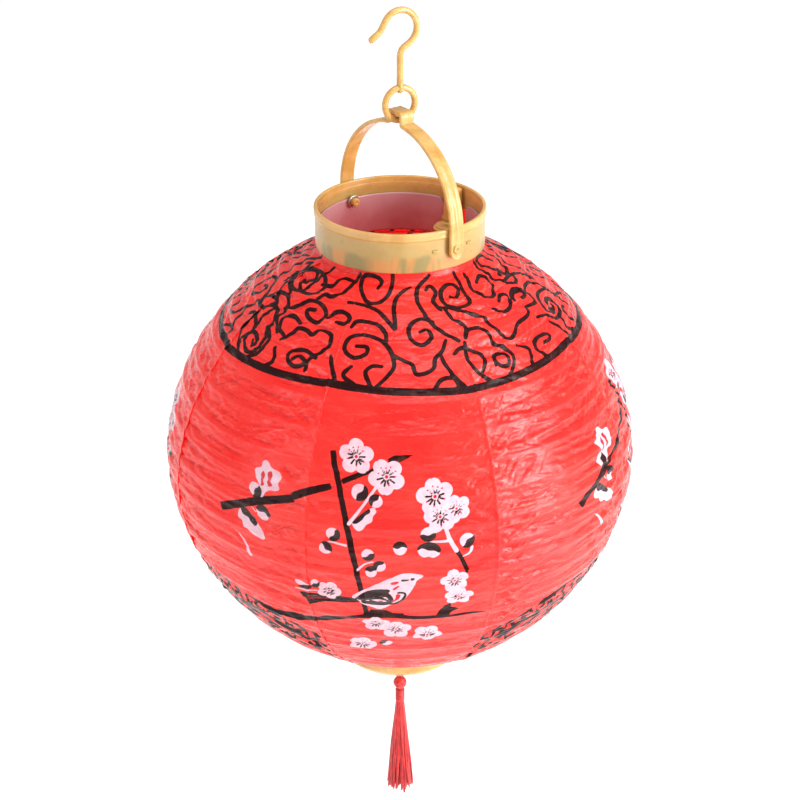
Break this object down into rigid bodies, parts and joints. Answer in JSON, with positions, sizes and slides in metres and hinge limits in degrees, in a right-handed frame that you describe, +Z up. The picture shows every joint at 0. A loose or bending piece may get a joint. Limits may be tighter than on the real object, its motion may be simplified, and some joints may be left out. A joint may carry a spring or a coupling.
{
  "type": "paper lantern",
  "caption": "Round paper lantern on wire ribs with a swinging strap handle, a hanging hook and a tassel.",
  "frame": {"origin": "the seat under the hook's crook, where the lantern hangs", "axes": "+Z up along the hanging line; X along the handle's two pegs"},
  "size_m": [0.2, 0.2, 0.3716],
  "materials": {
    "gold_plastic": "moulded gold plastic, soft gloss",
    "pearl_gold_plastic": "translucent pearly gold plastic",
    "red_paper": "glossy crinkled red paper with a printed pattern",
    "pink_card": "satin pale pink card",
    "spring_steel": "drawn spring wire",
    "red_silk": "silky red thread"
  },
  "bodies": {
    "hook": {"hook": "gold_plastic"},
    "handle": {"handle": "gold_plastic", "peg_clips": "spring_steel"},
    "stopper": {"tassel_stopper": "red_silk"},
    "tassel": {"tassel_cord": "red_silk", "tassel_knot": "red_silk", "tassel_binding": "red_silk", "tassel_skirt": "red_silk"},
    "lantern": {"base_plate": "gold_plastic", "bottom_cap": "gold_plastic", "neck_card_left": "pink_card", "neck_card_right": "pink_card", "paper_gore_1": "red_paper", "paper_gore_2": "red_paper", "paper_gore_3": "red_paper", "paper_gore_4": "red_paper", "paper_gore_5": "red_paper", "paper_gore_6": "red_paper", "paper_gore_7": "red_paper", "paper_gore_8": "red_paper", "rib_hoop_01": "spring_steel", "rib_hoop_02": "spring_steel", "rib_hoop_03": "spring_steel", "rib_hoop_04": "spring_steel", "rib_hoop_05": "spring_steel", "rib_hoop_06": "spring_steel", "rib_hoop_07": "spring_steel", "rib_hoop_08": "spring_steel", "rib_hoop_09": "spring_steel", "rib_hoop_10": "spring_steel", "rib_hoop_11": "spring_steel", "rib_hoop_12": "spring_steel", "rib_hoop_13": "spring_steel", "rib_hoop_14": "spring_steel", "rib_hoop_15": "spring_steel", "rib_hoop_16": "spring_steel", "rib_hoop_17": "spring_steel", "rib_hoop_18": "spring_steel", "rib_hoop_19": "spring_steel", "rib_hoop_20": "spring_steel", "strut_back": "gold_plastic", "strut_front": "gold_plastic", "top_ring": "pearl_gold_plastic"}
  },
  "joints": [
    {"name": "eye_swing", "type": "hinge", "parent": "hook", "child": "handle", "pos_m": [0, 0, -0.0436], "axis": [0.1685, 0.9857, 0], "range_deg": [-18, 18]},
    {"name": "handle_pivot", "type": "hinge", "parent": "handle", "child": "lantern", "pos_m": [0, 0, -0.08764], "axis": [1, 0, 0], "range_deg": [-95, 95]},
    {"name": "tassel_sway_x", "type": "hinge", "parent": "lantern", "child": "stopper", "pos_m": [0, 0, -0.29103], "axis": [1, 0, 0], "range_deg": [-25, 25]},
    {"name": "tassel_sway_y", "type": "hinge", "parent": "stopper", "child": "tassel", "pos_m": [0, 0, -0.29103], "axis": [0, 1, 0], "range_deg": [-25, 25]}
  ]
}
